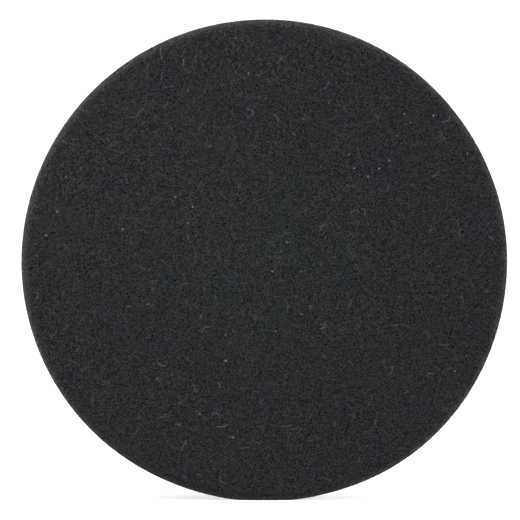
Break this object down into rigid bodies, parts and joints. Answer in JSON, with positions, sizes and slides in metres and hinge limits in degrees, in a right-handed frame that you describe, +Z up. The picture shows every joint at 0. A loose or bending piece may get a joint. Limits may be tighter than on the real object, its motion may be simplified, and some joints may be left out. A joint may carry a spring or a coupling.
{
  "type": "polishing pad",
  "caption": "Flat round black foam polishing pad with a rounded working edge and a hook-and-loop backing disc, for a machine polisher.",
  "frame": {"origin": "centre of the loop face at the back, on the spin axis, where the backing plate seats", "axes": "+Y is the spin axis and points out of the loop face towards the polisher; the working face looks along -Y; +Z is up as the pad stands on the flat of its rim, as pictured"},
  "size_m": [0.15, 0.0275, 0.1488],
  "materials": {
    "foam": "matte fine-pored open-cell polyurethane foam, black",
    "adhesive": "cured hot-melt film, cloudy amber, satin",
    "cloth": "knitted nylon ground cloth, pale grey, matte",
    "pile": "brushed nylon loops, pale grey, soft sheen"
  },
  "bodies": {
    "root": {"foam_pad": "foam", "adhesive_film": "adhesive", "backing_cloth": "cloth", "loop_pile": "pile"}
  },
  "joints": []
}
